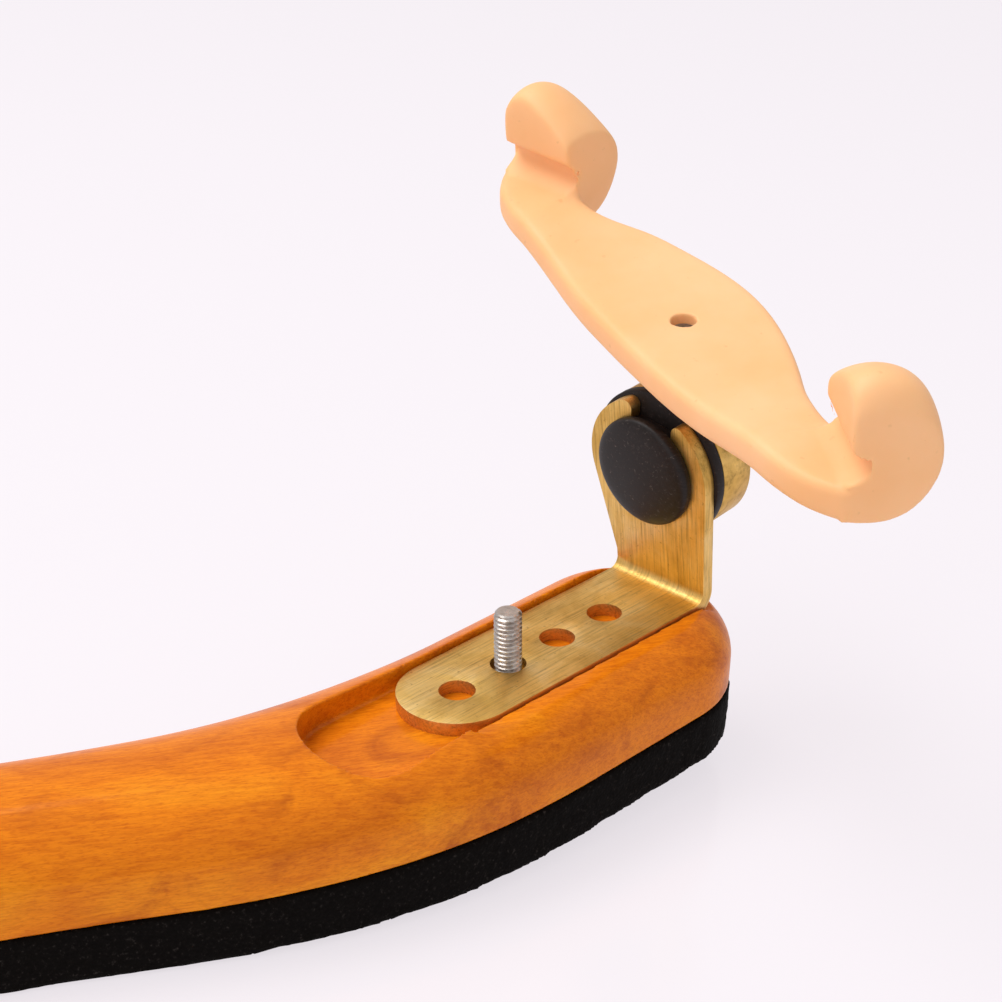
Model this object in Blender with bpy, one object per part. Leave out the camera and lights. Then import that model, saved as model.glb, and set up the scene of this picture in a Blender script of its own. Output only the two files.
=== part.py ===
"""Violin shoulder rest: S-curved maple bar with a foam pad, two brass L-brackets,
friction pivots and rubber forks.  Standalone Blender script; metres, +Z up.

Frames used below
  end frame  mm, origin at the stud hole on the bracket plate's top face,
             +X outward along the plate, +Z the plate's normal
  pivot      the disc centre on the upright's inner face: N inward, Y, U up the upright
  fork       origin at the centre of the web's top face: X along, Y outward, Z the normal
"""
import math

import bmesh
import bpy
from mathutils import Matrix, Vector

MM = 0.001

# ---- driving dimensions, mm and degrees -------------------------------------------
MID_HALF = 30.53         # straight middle of the bar, half length
MID_TURN = 4.4           # heading of the middle in plan
BEND_R = 122.4           # plan radius of the bar's centreline
END_TURN = 30.0          # heading of each end in plan
CAP_AT = 23.8            # centre of the bar's round end, outward of the stud
END_HALF_W = 16.7        # half width of the bar at its ends
MID_HALF_W = 13.3        # and in the middle
PAD_T = 8.0              # foam thickness
PAD_OVER = 0.25          # foam proud of the wood in plan
SIDE_H = 4.2             # height of the wood's upright side
DOME_H = 10.2            # dome above the side
PLATE_H = 20.0           # bracket plate's top above the pad's underside
FLAT_HALF = 5.0          # half length of the pad that lies flat
RISE_K = 0.000433        # the underside rises as RISE_K * distance squared ...
RISE_TO = 75.0           # ... up to this distance, then straight on

SLOT_HALF_W = 8.9
SLOT_IN = -27.0          # centre of the slot's round inner end
PLATE_T = 2.0
PLATE_HALF_W = 8.5
HOLE_PITCH = 10.0
HOLE_R = 2.6
BEND_AT = 32.4           # inner crease of the bracket
LEAN = 5.75              # the upright leans inward by this
BEND_RI = 1.6            # inner bend radius
PIVOT_U = 19.3           # pivot height up the upright
HEAD_R = 11.0
HEAD_Y = 1.5             # the head sits this far to one side
NOTCH_HALF = 3.8
NOTCH_TURN = -8.0        # the notch is cut at this angle to the upright
EAR_R = 1.2

STUD_R = 2.0             # M4
STUD_TOP = 8.5
STEM_R = 2.5             # M5
STEM_OFF = 7.3           # stem axis behind the upright's inner face
BARREL_R = 11.5
BARREL_IN, BARREL_OUT = 3.8, 10.8
DISC_R = 8.5
FORK_TOP = 21.9          # web's top face above the pivot, along the stem
FORK_TILT = 1.4          # the web leans inward on its stem
FORK_SPIN = -20.8        # the fork's turn about its stem as it stands
FOLD_REST = -4.4         # the pivot's turn as it stands
WEB_T = 5.0
WEB_RISE = 2.8           # the web steps up this much toward its claws
CLAW_AT = 37.4           # inner end of a claw, along the fork
CLAW_LEN = 15.3
CLAW_SLANT = 19.4        # a claw's axis turns this far inward
TIP_Z = 4.8              # underside of a claw's tip above the web beside it
CLEAR = 0.05             # running clearance


# ---- small helpers --------------------------------------------------------------
def material(name, colour, metallic, roughness):
    mat = bpy.data.materials.new(name)
    mat.use_nodes = True
    bsdf = mat.node_tree.nodes["Principled BSDF"]
    bsdf.inputs["Base Color"].default_value = (*colour, 1.0)
    bsdf.inputs["Metallic"].default_value = metallic
    bsdf.inputs["Roughness"].default_value = roughness
    return mat


def basis(origin, x_axis, y_axis, z_axis):
    m = Matrix.Identity(4)
    for col, v in enumerate((x_axis, y_axis, z_axis, origin)):
        for row in range(3):
            m[row][col] = v[row]
    return m


def mesh_from(verts, faces):
    """Closed mesh in millimetres, normals facing out."""
    mesh = bpy.data.meshes.new("m")
    mesh.from_pydata([tuple(v) for v in verts], [], faces)
    clean(mesh)
    return mesh


def clean(mesh, merge=0.0005):
    bm = bmesh.new()
    bm.from_mesh(mesh)
    bmesh.ops.remove_doubles(bm, verts=bm.verts, dist=merge)
    bmesh.ops.dissolve_degenerate(bm, edges=bm.edges, dist=merge)
    bmesh.ops.recalc_face_normals(bm, faces=bm.faces)
    bm.to_mesh(mesh)
    bm.free()


def temp_object(mesh):
    obj = bpy.data.objects.new("tmp", mesh)
    bpy.context.scene.collection.objects.link(obj)
    return obj


def combine(mesh, others, operation):
    """Boolean the meshes in others into mesh, one after another."""
    for other in others:
        a, b = temp_object(mesh), temp_object(other)
        mod = a.modifiers.new("Boolean", "BOOLEAN")
        mod.operation, mod.object, mod.solver = operation, b, "EXACT"
        graph = bpy.context.evaluated_depsgraph_get()
        result = bpy.data.meshes.new_from_object(a.evaluated_get(graph))
        bpy.data.objects.remove(a)
        bpy.data.objects.remove(b)
        clean(result)
        mesh = result
    return mesh


def cut(mesh, *others):
    return combine(mesh, others, "DIFFERENCE")


def join(mesh, *others):
    return combine(mesh, others, "UNION")


def moved(mesh, matrix):
    mesh.transform(matrix)
    return mesh


def lathe(profile, segments=48):
    """Solid of revolution about Z from (radius, z) points, bottom to top."""
    verts, rings, faces = [], [], []
    for r, z in profile:
        if r < 1e-6:
            rings.append([len(verts)])
            verts.append((0.0, 0.0, z))
        else:
            rings.append(list(range(len(verts), len(verts) + segments)))
            for i in range(segments):
                a = 2 * math.pi * i / segments
                verts.append((r * math.cos(a), r * math.sin(a), z))
    for low, high in zip(rings, rings[1:]):
        for i in range(segments):
            j = (i + 1) % segments
            quad = [low[i % len(low)], low[j % len(low)], high[j % len(high)], high[i % len(high)]]
            face = list(dict.fromkeys(quad))
            if len(face) > 2:
                faces.append(face)
    return mesh_from(verts, faces)


def ring(r_in, r_out, z0, z1, segments=48):
    """Washer or tube about Z."""
    verts, faces = [], []
    for r, z in ((r_in, z0), (r_out, z0), (r_out, z1), (r_in, z1)):
        for i in range(segments):
            a = 2 * math.pi * i / segments
            verts.append((r * math.cos(a), r * math.sin(a), z))
    for k in range(4):
        for i in range(segments):
            j = (i + 1) % segments
            n = (k + 1) % 4
            faces.append([k * segments + i, k * segments + j, n * segments + j, n * segments + i])
    return mesh_from(verts, faces)


def rod(r, z0, z1, segments=48):
    return lathe([(0, z0), (r, z0), (r, z1), (0, z1)], segments)


def prism(outline, z0, z1):
    n = len(outline)
    verts = [(x, y, z0) for x, y in outline] + [(x, y, z1) for x, y in outline]
    faces = [list(range(n))[::-1], list(range(n, 2 * n))]
    faces += [[i, (i + 1) % n, n + (i + 1) % n, n + i] for i in range(n)]
    return mesh_from(verts, faces)


def arc(cx, cy, r, a0, a1, n):
    return [(cx + r * math.cos(math.radians(a0 + (a1 - a0) * i / n)),
             cy + r * math.sin(math.radians(a0 + (a1 - a0) * i / n))) for i in range(n + 1)]


def smooth(t):
    t = min(max(t, 0.0), 1.0)
    return t * t * (3 - 2 * t)


def table(x, xs, ys):
    if x <= xs[0]:
        return ys[0]
    for (x0, y0), (x1, y1) in zip(zip(xs, ys), zip(xs[1:], ys[1:])):
        if x <= x1:
            return y0 + (y1 - y0) * (x - x0) / (x1 - x0)
    return ys[-1]


# ---- frames ---------------------------------------------------------------------
TURN, MID = math.radians(END_TURN), math.radians(MID_TURN)
ARC_LEN = BEND_R * (TURN - MID)
STUD_AT = MID_HALF + ARC_LEN             # the stud hole, along the centreline
END_SLOPE = math.atan(2 * RISE_K * RISE_TO)


def rise(along):
    """Height of the pad's underside at a distance along the centreline."""
    d = min(max(abs(along) - FLAT_HALF, 0.0), RISE_TO)
    return RISE_K * d * d + 2 * RISE_K * RISE_TO * max(abs(along) - FLAT_HALF - RISE_TO, 0.0)


def centreline(along):
    """Point and heading of the bar's centreline; the two halves are half-turn twins."""
    s, sign = abs(along), (1 if along >= 0 else -1)
    straight = min(s, MID_HALF)
    heading = MID + max(min(s, STUD_AT) - MID_HALF, 0.0) / BEND_R
    past = max(s - STUD_AT, 0.0)
    x = (straight * math.cos(MID) + BEND_R * (math.sin(heading) - math.sin(MID))
         + past * math.cos(TURN))
    y = (straight * math.sin(MID) + BEND_R * (math.cos(MID) - math.cos(heading))
         + past * math.sin(TURN))
    return sign * x, sign * y, heading


def half_width(along):
    return MID_HALF_W + (END_HALF_W - MID_HALF_W) * smooth((abs(along) - 10.0) / 62.0)


def end_frame(end):
    """End frame in the world (mm), for the +X end or, turned half round, the other."""
    x, y, heading = centreline(STUD_AT)
    tilt = Matrix.Rotation(-END_SLOPE, 4, "Y")
    z = rise(STUD_AT) + PLATE_H / math.cos(END_SLOPE)
    m = Matrix.Translation((x, y, z)) @ Matrix.Rotation(heading, 4, "Z") @ tilt
    return m if end == "a" else Matrix.Rotation(math.pi, 4, "Z") @ m


def pivot_frame():
    """Z inward (toward the bar's middle), X across, Y up the upright; in the end frame."""
    lean = math.radians(LEAN)
    up = Vector((-math.sin(lean), 0, math.cos(lean)))
    inward = Vector((-math.cos(lean), 0, -math.sin(lean)))
    centre = Vector((BEND_AT, HEAD_Y, 0)) + up * PIVOT_U
    return basis(centre, up.cross(inward), up, inward)


def stem_frame():
    """Z up the stem from the pivot axis, Y outward; in the end frame."""
    fold = Matrix.Rotation(math.radians(FOLD_REST), 4, "Z")
    return pivot_frame() @ fold @ Matrix.Translation((0, 0, -STEM_OFF)) @ Matrix.Rotation(
        -math.pi / 2, 4, "X")


def fork_frame():
    """Origin at the web's top centre, X along the fork, Y outward, Z the web's normal."""
    spin = Matrix.Rotation(math.radians(FORK_SPIN), 4, "Z")
    tilt = Matrix.Rotation(math.radians(FORK_TILT), 4, "X")
    return stem_frame() @ Matrix.Translation((0, 0, FORK_TOP)) @ spin @ tilt


# ---- bar and pad ------------------------------------------------------------------
def bar_loop(inset, height, grow=0.0, steps=30, cap_steps=12):
    """One closed loop around the bar: inset 0 is the outline, 1 the ridge line."""
    cap = STUD_AT + CAP_AT
    pts = []
    alongs = [-cap + 2 * cap * i / steps for i in range(steps + 1)]
    for side in (1, -1):
        run = alongs if side == -1 else alongs[::-1]
        end = -1 if side == 1 else 1
        for s in run:
            x, y, h = centreline(s)
            w = (half_width(s) + grow) * (1 - inset)
            pts.append((x - side * w * math.sin(h), y + side * w * math.cos(h), rise(s) + height))
        x, y, h = centreline(end * cap)
        w = (END_HALF_W + grow) * (1 - inset)
        for i in range(1, cap_steps):
            a = h + math.pi * i / cap_steps + (math.pi / 2 if end == -1 else -math.pi / 2)
            ahead = w * math.cos(a - h)
            pts.append((x + w * math.cos(a), y + w * math.sin(a),
                        rise(end * cap + ahead) + height))
    return pts


def close_loops(loops):
    """Skin the loops; the first and last are already collapsed onto the ridge line."""
    verts = [p for loop in loops for p in loop]
    n = len(loops[0])
    faces = []
    for k in range(len(loops) - 1):
        for i in range(n):
            j = (i + 1) % n
            faces.append([k * n + i, k * n + j, (k + 1) * n + j, (k + 1) * n + i])
    return mesh_from(verts, faces)


def wood_mesh():
    loops = [bar_loop(1.0, PAD_T), bar_loop(0.5, PAD_T), bar_loop(0.03, PAD_T),
             bar_loop(0.0, PAD_T + 0.5), bar_loop(0.0, PAD_T + SIDE_H)]
    rings = 9
    for i in range(1, rings + 1):
        a = math.pi / 2 * i / rings
        across = math.cos(a) ** (2 / 2.15) if i < rings else 0.0
        loops.append(bar_loop(1 - across, PAD_T + SIDE_H + DOME_H * math.sin(a)))
    return close_loops(loops)


def pad_mesh():
    top = PAD_T - 0.02
    loops = [bar_loop(1.0, 0), bar_loop(0.5, 0, PAD_OVER), bar_loop(0.04, 0, PAD_OVER),
             bar_loop(0.0, 0.5, PAD_OVER), bar_loop(0.0, top - 0.3, PAD_OVER),
             bar_loop(0.03, top, PAD_OVER), bar_loop(0.5, top, PAD_OVER), bar_loop(1.0, top)]
    return close_loops(loops)


def slot_cutter():
    outline = arc(SLOT_IN, 0, SLOT_HALF_W, 90, 270, 24) + [(60, -SLOT_HALF_W), (60, SLOT_HALF_W)]
    return prism(outline, -PLATE_T, 30)


# ---- bracket ----------------------------------------------------------------------
def tangent_angle(dx, dy, r):
    """Polar angle, in degrees, where the tangent from (dx, dy) meets a circle at the origin."""
    return math.degrees(math.atan2(dy, dx) - math.acos(r / math.hypot(dx, dy)))


def bracket_mesh():
    """Flat blank with its holes and notch, then bent."""
    bend = math.radians(90 + LEAN)
    mid_r = BEND_RI + PLATE_T / 2
    start = BEND_AT - BEND_RI * math.tan(bend / 2)
    length = bend * mid_r
    crease_u = BEND_RI * math.tan(bend / 2)
    to_flat = start + length - crease_u          # flat position of upright height u is u + this
    w = PLATE_HALF_W
    head = to_flat + PIVOT_U
    reach = NOTCH_HALF + EAR_R
    ear_u = math.sqrt((HEAD_R - EAR_R) ** 2 - reach ** 2)
    ear_a = math.degrees(math.atan2(reach, ear_u))
    near_foot, far_foot = (start + length, -w), (to_flat + 3.0, w)
    near_a = -tangent_angle(near_foot[0] - head, w + HEAD_Y, HEAD_R)
    far_a = tangent_angle(far_foot[0] - head, w - HEAD_Y, HEAD_R)
    mouth = (arc(ear_u, -reach, EAR_R, -ear_a, 90, 8) + arc(0, 0, NOTCH_HALF, 270, 90, 16)
             + arc(ear_u, reach, EAR_R, -90, ear_a, 8))
    turned = (arc(0, 0, HEAD_R, near_a - NOTCH_TURN, -ear_a, 18)[:-1] + mouth
              + arc(0, 0, HEAD_R, ear_a, far_a - NOTCH_TURN, 18)[1:])
    c, k = math.cos(math.radians(NOTCH_TURN)), math.sin(math.radians(NOTCH_TURN))
    top = [(head + x * c - y * k, HEAD_Y + x * k + y * c) for x, y in turned]
    tip = arc(-HOLE_PITCH, 0, w, 90, 270, 24)
    outline = (tip + [(start, -w), near_foot] + top + [far_foot, (start + length, w), (start, w)])
    mesh = prism(outline, -PLATE_T, 0)
    holes = [moved(rod(HOLE_R, -5, 5, 32), Matrix.Translation((HOLE_PITCH * k, 0, 0)))
             for k in (-1, 0, 1, 2)]
    mesh = cut(mesh, *holes)
    bm = bmesh.new()
    bm.from_mesh(mesh)
    bmesh.ops.triangulate(bm, faces=bm.faces)
    for i in range(11):
        geom = bm.verts[:] + bm.edges[:] + bm.faces[:]
        bmesh.ops.bisect_plane(bm, geom=geom, plane_no=(1, 0, 0),
                               plane_co=(start + length * i / 10, 0, 0))
    for v in bm.verts:
        x, y, t = v.co
        a = min(max(x - start, 0.0), length) / mid_r
        r = BEND_RI - t
        past = max(x - start - length, 0.0)
        if x > start:
            v.co = (start + r * math.sin(a) + past * math.cos(a), y,
                    BEND_RI - r * math.cos(a) + past * math.sin(a))
    bm.to_mesh(mesh)
    bm.free()
    clean(mesh)
    return mesh


# ---- pivot pieces, in the pivot frame -------------------------------------------
def cap_mesh():
    r = DISC_R
    disc = lathe([(0, CLEAR), (r - 0.1, CLEAR), (r, 0.15), (r, 0.9), (r - 0.3, 1.4), (r - 1.0, 1.85),
                  (r - 2.0, 2.15), (4.5, 2.35), (2.2, 2.45), (0, 2.48)], 64)
    key_half = NOTCH_HALF - 0.1
    outline = arc(0, 0, key_half, 180, 360, 16) + [(key_half, 7.0), (-key_half, 7.0)]
    key = moved(prism(outline, -PLATE_T - CLEAR, 0.6),
                Matrix.Rotation(math.radians(NOTCH_TURN), 4, "Z"))
    bore = rod(1.5 + CLEAR, -5, 1.45, 24)
    return cut(join(disc, key), bore)


def flange_mesh():
    z1, z0 = -PLATE_T - 2 * CLEAR, -BARREL_IN + CLEAR
    r = BARREL_R + 0.1
    solid = lathe([(0, z0), (r - 0.3, z0), (r, z0 + 0.3), (r, z1 - 0.3), (r - 0.3, z1), (0, z1)], 64)
    return cut(solid, rod(2.0 + CLEAR, -6, 0, 32))


def barrel_mesh():
    z0, z1 = -BARREL_OUT, -BARREL_IN
    body = lathe([(0, z0), (BARREL_R - 1.3, z0), (BARREL_R, z0 + 1.3), (BARREL_R, z1 - 0.5),
                  (BARREL_R - 0.5, z1), (0, z1)], 64)
    body = cut(body, rod(2.0 + CLEAR, -20, 5, 32), rod(4.1, -20, -8.0, 40))
    fold = Matrix.Rotation(math.radians(FOLD_REST), 4, "Z")
    hole = moved(rod(STEM_R + CLEAR, 4.5, 15, 32), Matrix.Translation((0, 0, -STEM_OFF))
                 @ Matrix.Rotation(-math.pi / 2, 4, "X"))
    return moved(cut(body, hole), fold)


def pivot_screw_mesh():
    return lathe([(0, -10.6), (3.3, -10.6), (3.6, -10.3), (3.6, -9.0), (2.0, -9.0), (2.0, -2.1),
                  (1.5, -2.1), (1.5, 1.2), (1.3, 1.4), (0, 1.4)], 40)


def spring_washer_mesh():
    seg = 40
    verts, faces = [], []
    for r, z in ((2.2, -8.32), (3.7, -8.05), (3.7, -8.65), (2.2, -8.92)):
        for i in range(seg):
            a = 2 * math.pi * i / seg
            verts.append((r * math.cos(a), r * math.sin(a), z))
    for k in range(4):
        n = (k + 1) % 4
        for i in range(seg):
            j = (i + 1) % seg
            faces.append([k * seg + i, k * seg + j, n * seg + j, n * seg + i])
    return mesh_from(verts, faces)


# ---- stem, core and fork -----------------------------------------------------------
def stem_mesh():
    top = FORK_TOP - 2.7
    return lathe([(0, 5.6), (2.1, 5.6), (2.5, 6.0), (2.5, top - 0.4), (2.1, top), (0, top)], 40)


def stem_in_fork():
    """The stem frame as seen from the fork frame."""
    return fork_frame().inverted() @ stem_frame()


CORE_HALF, CORE_W, CORE_TOP, CORE_BOTTOM = 18.0, 4.6, -1.6, -3.5


def core_mesh(grow=0.0, hollow=True):
    half, w = CORE_HALF, CORE_W + grow
    outline = arc(half - CORE_W, 0, w, -90, 90, 12) + arc(-half + CORE_W, 0, w, 90, 270, 12)
    plate = prism(outline, CORE_BOTTOM - grow, CORE_TOP + grow)
    low = 14.0 if hollow else 10.0
    top = FORK_TOP - 2.7
    boss = moved(rod(4.0 + grow, low, top, 40), stem_in_fork())
    solid = join(plate, boss)
    if hollow:
        solid = cut(solid, moved(rod(STEM_R + CLEAR, 10, top + CLEAR, 32), stem_in_fork()),
                    rod(1.7, -3.2, 1, 24))
    return solid


def web_rise(x):
    return WEB_RISE * smooth((abs(x) - 18.0) / 20.0)


def outer_edge(x):
    """Half width of the web on its outward side; its widest point sits a little off centre."""
    off_centre = 3.5 * (1 - smooth((abs(x) - 20.0) / 12.0))
    return table(abs(x + off_centre), [0, 5, 9, 13, 17, 20, 23.5, 27.5, 31, 34],
                 [13.2, 12.9, 12.2, 11.3, 9.9, 8.8, 7.2, 4.6, 3.1, 2.4])


def crown(u):
    """Height of a claw above the web at u, 0 to 1 along it: highest toward its outer end."""
    return table(u, [0, 0.1, 0.2, 0.35, 0.5, 0.65, 0.8, 0.9, 1.0],
                 [8.6, 10.2, 11.3, 12.9, 14.1, 14.8, 14.7, 13.6, 10.6])


def fork_section(x, hook):
    """Closed (v, z) outline across the fork at station x; hook runs 0 (web) to 1 (claw)."""
    vi = -table(abs(x), [0, 12, 22, 38, 42, 46, 49, 51, 53],
                [10.4, 10.2, 9.7, 9.8, 9.8, 9.2, 8.2, 6.8, 4.9])
    vo = outer_edge(x)
    inner_r, low_r, t = 1.5, 1.2, WEB_T
    count = 23
    flat = []
    for i in range(count):
        a = math.radians(-90 + 180 * i / (count - 1))
        c, s = math.cos(a), math.sin(a)
        flat.append((vo - t / 2 + t / 2 * abs(c) ** 0.6,
                     -t / 2 + t / 2 * math.copysign(abs(s) ** 0.6, s)))
    u = min(max((abs(x) - CLAW_AT) / CLAW_LEN, 0.0), 1.0)
    tip, h, z = 0.2 - 4.9 * u, crown(u), TIP_Z
    claw = [(-1.5, -t + 0.1), (2.0, -t - 0.6), (5.0, -t - 0.6), (7.9, -4.4), (10.2, -1.7),
            (11.5, 1.4), (11.7, 0.36 * h), (11.3, 0.57 * h), (10.2, 0.76 * h), (8.3, 0.9 * h),
            (5.7, 0.985 * h), (3.2, h), (1.3, 0.96 * h), (0.3, 0.91 * h), (0.0, 0.84 * h),
            (0.0, z + 0.5), (0.4, z), (1.6, z - 0.1), (2.6, z - 0.5), (2.9, z - 1.6),
            (2.3, z - 2.6), (0.9, 1.0), (-0.8, 0.2)]
    claw = [(tip + v, height) for v, height in claw]
    edge = [(f[0] + (c[0] - f[0]) * hook, f[1] + (c[1] - f[1]) * hook)
            for f, c in zip(flat, claw)]
    last_v, last_z = edge[-1]
    first_v = edge[0][0]
    pts = edge[:]
    for k in (3, 2, 1):
        pts.append((vi + 2.4 + (last_v - vi - 2.4) * k / 4, last_z * k / 4))
    for i in range(4):
        a = math.radians(30 * i)
        pts.append((vi + inner_r - inner_r * math.sin(a), -inner_r + inner_r * math.cos(a)))
    for i in range(4):
        a = math.radians(30 * i)
        pts.append((vi + low_r - low_r * math.cos(a), -t + low_r - low_r * math.sin(a)))
    for k in (1, 2, 3):
        pts.append((vi + 2.2 + (first_v - vi - 2.2) * k / 4, -t))
    return pts


def shrink(pts, by):
    """Move every point of a closed outline inward along its own normal."""
    out, n = [], len(pts)
    area = sum(pts[i][0] * pts[(i + 1) % n][1] - pts[(i + 1) % n][0] * pts[i][1] for i in range(n))
    turn = 1 if area > 0 else -1
    for i in range(n):
        ax, ay = pts[i - 1]
        bx, by_ = pts[(i + 1) % n]
        dx, dy = bx - ax, by_ - ay
        d = math.hypot(dx, dy) or 1.0
        out.append((pts[i][0] - turn * dy / d * by, pts[i][1] + turn * dx / d * by))
    return out


def fork_loop(x, hook, inset=0.0):
    """One loop of the loft in the fork frame; loops swing round to follow the claws' axes."""
    slant = math.radians(CLAW_SLANT) * smooth((abs(x) - 8.0) / 24.0)
    side = 1 if x >= 0 else -1
    pts = fork_section(x, hook)
    pts = shrink(pts, inset) if inset else pts
    loop = []
    for v, z in pts:
        px = x + side * v * math.sin(slant)
        loop.append((px, v * math.cos(slant), z + web_rise(px)))
    return loop


def fork_mesh():
    web = [0, 6, 12, 18, 23, 28, 32, 35, 36.6]
    claw = [CLAW_AT + CLAW_LEN * u for u in (0.0, 0.04, 0.12, 0.25, 0.4, 0.6, 0.75, 0.88, 0.96)]
    half = [(x, 0.0, 0.0) for x in web] + [(CLAW_AT - 0.3, 0.5, 0.0)]
    half += [(x, 1.0, 0.0) for x in claw] + [(CLAW_AT + CLAW_LEN, 1.0, 0.25)]
    rings = ([fork_loop(-x, hook, inset) for x, hook, inset in half[:0:-1]]
             + [fork_loop(x, hook, inset) for x, hook, inset in half])
    n = len(rings[0])
    verts = [p for r in rings for p in r]
    faces = []
    for k in range(len(rings) - 1):
        for i in range(n):
            j = (i + 1) % n
            faces.append([k * n + i, k * n + j, (k + 1) * n + j, (k + 1) * n + i])
    faces.append(list(range(n))[::-1])
    faces.append(list(range((len(rings) - 1) * n, len(rings) * n)))
    solid = mesh_from(verts, faces)
    return cut(solid, core_mesh(0.1, hollow=False), rod(2.0, -2.5, 5, 32))


# ---- fasteners ---------------------------------------------------------------------
def stud_mesh():
    low = -(PLATE_H - PAD_T) + 0.1
    return lathe([(0, low), (3.7, low), (4.0, low + 0.3), (4.0, low + 2.2), (STUD_R, low + 2.2),
                  (STUD_R, STUD_TOP - 0.5), (STUD_R - 0.5, STUD_TOP), (0, STUD_TOP)], 40)


def nut_mesh():
    seg = 48
    profile = ((3.05, 0.86), (6.3, 0.86), (6.5, 1.2), (6.5, 5.6), (6.0, 6.2), (3.05, 6.2))
    verts, faces = [], []
    for k, (r, z) in enumerate(profile):
        for i in range(seg):
            a = 2 * math.pi * i / seg
            rr = r - (0.35 if i % 2 and 1 <= k <= 4 else 0.0)
            verts.append((rr * math.cos(a), rr * math.sin(a), z))
    n = len(profile)
    for k in range(n):
        for i in range(seg):
            j = (i + 1) % seg
            m = (k + 1) % n
            faces.append([k * seg + i, k * seg + j, m * seg + j, m * seg + i])
    return mesh_from(verts, faces)


# ---- placing ----------------------------------------------------------------------
def place(name, mesh, frame, mat, origin=(0, 0, 0)):
    """Object from a mesh in a local frame (mm); its origin is the given local point."""
    mesh.transform(frame)
    o = frame @ Vector(origin)
    mesh.transform(Matrix.Translation(-o))
    mesh.transform(Matrix.Scale(MM, 4))
    mesh.name = name
    mesh.materials.clear()
    mesh.materials.append(mat)
    obj = bpy.data.objects.new(name, mesh)
    obj.location = o * MM
    bpy.context.scene.collection.objects.link(obj)
    return obj


def main():
    for obj in list(bpy.data.objects):
        bpy.data.objects.remove(obj)

    def wood():
        return material("maple_varnished", (0.62, 0.24, 0.05), 0.0, 0.25)

    def brass(name):
        return material("brass_" + name, (0.62, 0.47, 0.24), 1.0, 0.35)

    def steel(name):
        return material("steel_" + name, (0.62, 0.61, 0.59), 1.0, 0.28)

    def black(name):
        return material("plastic_" + name, (0.02, 0.02, 0.02), 0.0, 0.4)

    world = Matrix.Identity(4)
    bar = wood_mesh()
    for end in "ab":
        e = end_frame(end)
        low = -(PLATE_H - PAD_T)
        bar = cut(bar, moved(slot_cutter(), e), moved(rod(STUD_R + 0.15, -20, 3, 32), e),
                  moved(rod(3.3, -7.7, 3, 32), e), moved(rod(4.2, low - 3, low + 2.4, 40), e))
    place("wood_bar", bar, world, wood())
    place("foam_pad", pad_mesh(), world, material("foam_black", (0.015, 0.015, 0.016), 0.0, 0.95))

    for end in "ab":
        e = end_frame(end)
        p = e @ pivot_frame()
        s = e @ stem_frame()
        f = e @ fork_frame()
        tag = "_" + end
        place("stud" + tag, stud_mesh(), e, steel("stud" + tag))
        place("wood_insert" + tag, ring(STUD_R + CLEAR, 3.2, -7.6, -PLATE_T - 0.1, 40), e,
              brass("insert" + tag))
        place("bracket" + tag, bracket_mesh(), e, brass("bracket" + tag))
        place("pivot_cap" + tag, cap_mesh(), p, black("cap" + tag))
        place("pivot_flange" + tag, flange_mesh(), p, black("flange" + tag))
        place("pivot_barrel" + tag, barrel_mesh(), p, brass("barrel" + tag))
        place("pivot_screw" + tag, pivot_screw_mesh(), p, steel("screw" + tag))
        place("spring_washer" + tag, spring_washer_mesh(), p, steel("washer" + tag))
        place("fork_stem" + tag, stem_mesh(), s, steel("stem" + tag))
        origin = f.inverted() @ (s @ Vector((0, 0, FORK_TOP)))
        place("fork_core" + tag, core_mesh(), f, steel("core" + tag), origin)
        place("fork" + tag, fork_mesh(), f,
              material("rubber_cream" + tag, (0.93, 0.66, 0.36), 0.0, 0.55), origin)

    e = end_frame("b")
    place("nut_washer_b", ring(2.15, 4.4, 0.03, 0.8, 40), e, steel("nut_washer"))
    place("nut_bush_b", ring(STUD_R + CLEAR, 3.0, 0.86, 6.2, 40), e, brass("nut_bush"))
    place("thumb_nut_b", nut_mesh(), e, black("thumb_nut"))


main()
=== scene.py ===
"""Violin shoulder rest: amber maple bar, foam pad, tarnished brass brackets and cream rubber forks.

Every piece is built in millimetres in one of a few frames and placed on the CAD frame:
  end frame   origin at the stud hole on the bracket plate's top, +X outward, +Z its normal
  pivot       disc centre on the upright's inner face: X across, Y up the upright, Z inward
  stem        on the pivot axis, Z up the stem, Y outward
  fork        centre of the web's top face: X along, Y outward, Z its normal
"""

import math

import bmesh
import bpy
from mathutils import Matrix, Vector, noise


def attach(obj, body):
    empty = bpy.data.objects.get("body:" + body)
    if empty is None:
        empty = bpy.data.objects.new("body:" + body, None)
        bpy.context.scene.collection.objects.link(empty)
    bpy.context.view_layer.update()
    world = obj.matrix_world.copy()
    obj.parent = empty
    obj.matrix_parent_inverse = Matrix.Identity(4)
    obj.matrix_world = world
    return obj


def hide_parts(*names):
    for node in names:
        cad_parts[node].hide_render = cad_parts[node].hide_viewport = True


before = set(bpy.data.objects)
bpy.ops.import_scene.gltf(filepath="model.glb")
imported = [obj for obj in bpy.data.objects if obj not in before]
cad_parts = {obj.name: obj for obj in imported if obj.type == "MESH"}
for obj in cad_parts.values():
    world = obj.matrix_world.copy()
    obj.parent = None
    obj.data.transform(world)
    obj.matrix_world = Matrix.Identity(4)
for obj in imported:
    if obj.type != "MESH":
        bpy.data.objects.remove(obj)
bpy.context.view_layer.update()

MM = 0.001

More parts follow.
